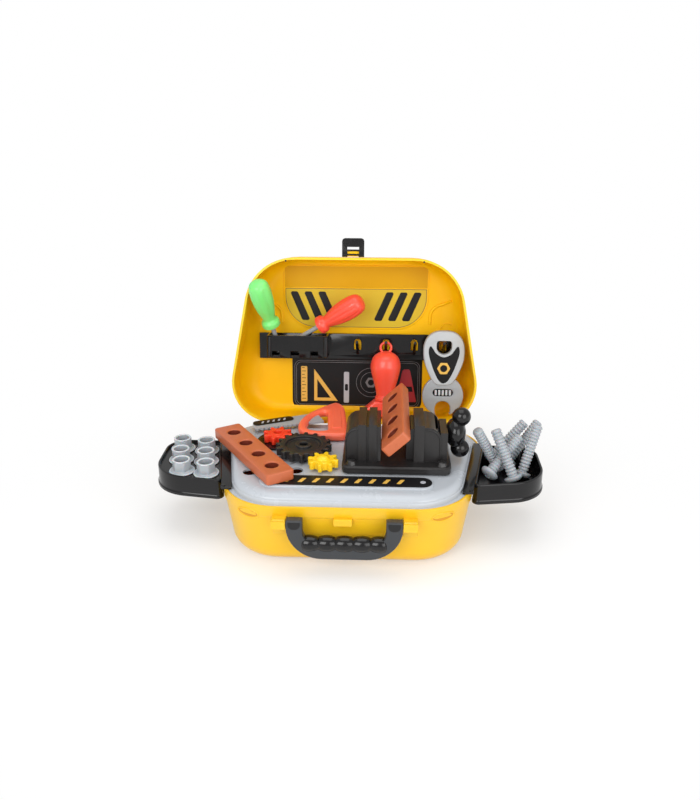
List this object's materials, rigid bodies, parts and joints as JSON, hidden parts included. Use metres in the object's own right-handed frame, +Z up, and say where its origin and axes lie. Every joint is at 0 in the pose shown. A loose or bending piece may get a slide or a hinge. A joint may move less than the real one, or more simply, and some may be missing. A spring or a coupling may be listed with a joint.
{
  "type": "toy tool set",
  "caption": "Pretend-play carry case that opens into a toy workbench: hinged lid with tool rack, turning gears, screw vise, planks, side trays with nuts and bolts.",
  "frame": {"origin": "on the floor, under the middle of the base tub", "axes": "+Z up, +Y from the carry handle towards the lid's hinge, +X to the right when one faces the carry handle"},
  "size_m": [0.3853, 0.2785, 0.2625],
  "materials": {
    "case_yellow": "satin moulded plastic",
    "bench_grey": "satin moulded plastic",
    "black": "glossy moulded plastic",
    "red": "satin moulded plastic",
    "green": "satin moulded plastic",
    "gear_yellow": "satin moulded plastic",
    "plank_brown": "matt moulded plastic",
    "tool_grey": "satin moulded plastic",
    "fastener_grey": "satin moulded plastic"
  },
  "bodies": {
    "base": {"base_shell": "case_yellow", "lid_hinge_pin_left": "case_yellow", "lid_hinge_pin_right": "case_yellow"},
    "lid": {"lid_shell": "case_yellow", "tool_rack": "black"},
    "latch": {"latch": "black"},
    "handle": {"carry_handle": "black"},
    "worktop": {"worktop": "bench_grey", "gear_seat": "black", "vise_base": "black"},
    "tray_left": {"tray_left": "black", "nut_1": "fastener_grey", "nut_2": "fastener_grey", "nut_3": "fastener_grey", "nut_4": "fastener_grey", "nut_5": "fastener_grey", "nut_6": "fastener_grey"},
    "tray_right": {"tray_right": "black", "bolt_1": "fastener_grey", "bolt_2": "fastener_grey", "bolt_3": "fastener_grey", "bolt_4": "fastener_grey", "bolt_5": "fastener_grey", "bolt_6": "fastener_grey"},
    "gear_black": {"gear_black": "black"},
    "gear_red": {"gear_red": "red"},
    "gear_yellow": {"gear_yellow": "gear_yellow"},
    "vise_jaw": {"vise_jaw": "black"},
    "vise_handle": {"vise_handle": "black"},
    "plank_flat": {"plank_flat": "plank_brown"},
    "plank_clamped": {"plank_clamped": "plank_brown"},
    "saw": {"saw_handle": "red", "saw_blade": "tool_grey"},
    "hammer": {"hammer_handle": "red", "hammer_head": "red"},
    "wrench": {"wrench": "tool_grey"},
    "screwdriver_green": {"screwdriver_green_handle": "green", "screwdriver_green_shaft": "tool_grey"},
    "screwdriver_red": {"screwdriver_red_handle": "red", "screwdriver_red_shaft": "tool_grey"}
  },
  "joints": [
    {"name": "lid_hinge", "type": "hinge", "parent": "base", "child": "lid", "pos_m": [0, 0.093, 0.0625], "axis": [-1, 0, 0], "range_deg": [-28, 0]},
    {"name": "latch_pivot", "type": "hinge", "parent": "lid", "child": "latch", "pos_m": [-0.00175, 0.12916, 0.24524], "axis": [1, 0, 0], "range_deg": [0, 90]},
    {"name": "handle_pivot", "type": "hinge", "parent": "base", "child": "handle", "pos_m": [0, -0.098, 0.0523], "axis": [-1, 0, 0], "range_deg": [0, 110]},
    {"name": "worktop_lift", "type": "slide", "parent": "base", "child": "worktop", "axis": [0, 0, 1], "range_m": [0, 0.04]},
    {"name": "tray_left_pull", "type": "slide", "parent": "worktop", "child": "tray_left", "axis": [-1, 0, 0], "range_m": [0, 0.06]},
    {"name": "tray_right_pull", "type": "slide", "parent": "worktop", "child": "tray_right", "axis": [1, 0, 0], "range_m": [0, 0.06]},
    {"name": "gear_black_spin", "type": "hinge", "parent": "worktop", "child": "gear_black", "pos_m": [-0.045, 0, 0.0773], "axis": [0, 0, 1], "continuous": true},
    {"name": "gear_red_spin", "type": "hinge", "parent": "worktop", "child": "gear_red", "pos_m": [-0.07387, 0.02563, 0.0773], "axis": [0, 0, 1], "continuous": true},
    {"name": "gear_yellow_spin", "type": "hinge", "parent": "worktop", "child": "gear_yellow", "pos_m": [-0.02336, -0.03196, 0.0773], "axis": [0, 0, 1], "continuous": true},
    {"name": "vise_screw_turn", "type": "hinge", "parent": "worktop", "child": "vise_handle", "pos_m": [0.0962, -0.011, 0.1055], "axis": [1, 0, 0], "range_deg": [0, 720]},
    {"name": "vise_jaw_slide", "type": "slide", "parent": "worktop", "child": "vise_jaw", "axis": [1, 0, 0], "range_m": [0, 0.0065]},
    {"name": "plank_flat_lift", "type": "slide", "parent": "worktop", "child": "plank_flat", "axis": [0, 0, 1], "range_m": [0, 0.04]},
    {"name": "plank_clamped_pull", "type": "slide", "parent": "worktop", "child": "plank_clamped", "axis": [0, -1, 0], "range_m": [0, 0.06]},
    {"name": "saw_lift", "type": "slide", "parent": "worktop", "child": "saw", "axis": [0, 0, 1], "range_m": [0, 0.04]},
    {"name": "hammer_lift", "type": "slide", "parent": "lid", "child": "hammer", "axis": [0, -0.7716, 0.6361], "range_m": [0, 0.025]},
    {"name": "wrench_lift", "type": "slide", "parent": "lid", "child": "wrench", "axis": [0, -0.7716, 0.6361], "range_m": [0, 0.025]},
    {"name": "screwdriver_green_lift", "type": "slide", "parent": "lid", "child": "screwdriver_green", "axis": [-0.2001, -0.338, 0.9196], "range_m": [0, 0.045]},
    {"name": "screwdriver_red_lift", "type": "slide", "parent": "lid", "child": "screwdriver_red", "axis": [0.8095, -0.1965, 0.5533], "range_m": [0, 0.045]}
  ],
  "couplings": [
    {"joint": "gear_red_spin", "follows": "gear_black_spin", "ratio": -2},
    {"joint": "gear_yellow_spin", "follows": "gear_black_spin", "ratio": -2},
    {"joint": "vise_jaw_slide", "follows": "vise_screw_turn", "m_per_rad": 0.000517}
  ]
}
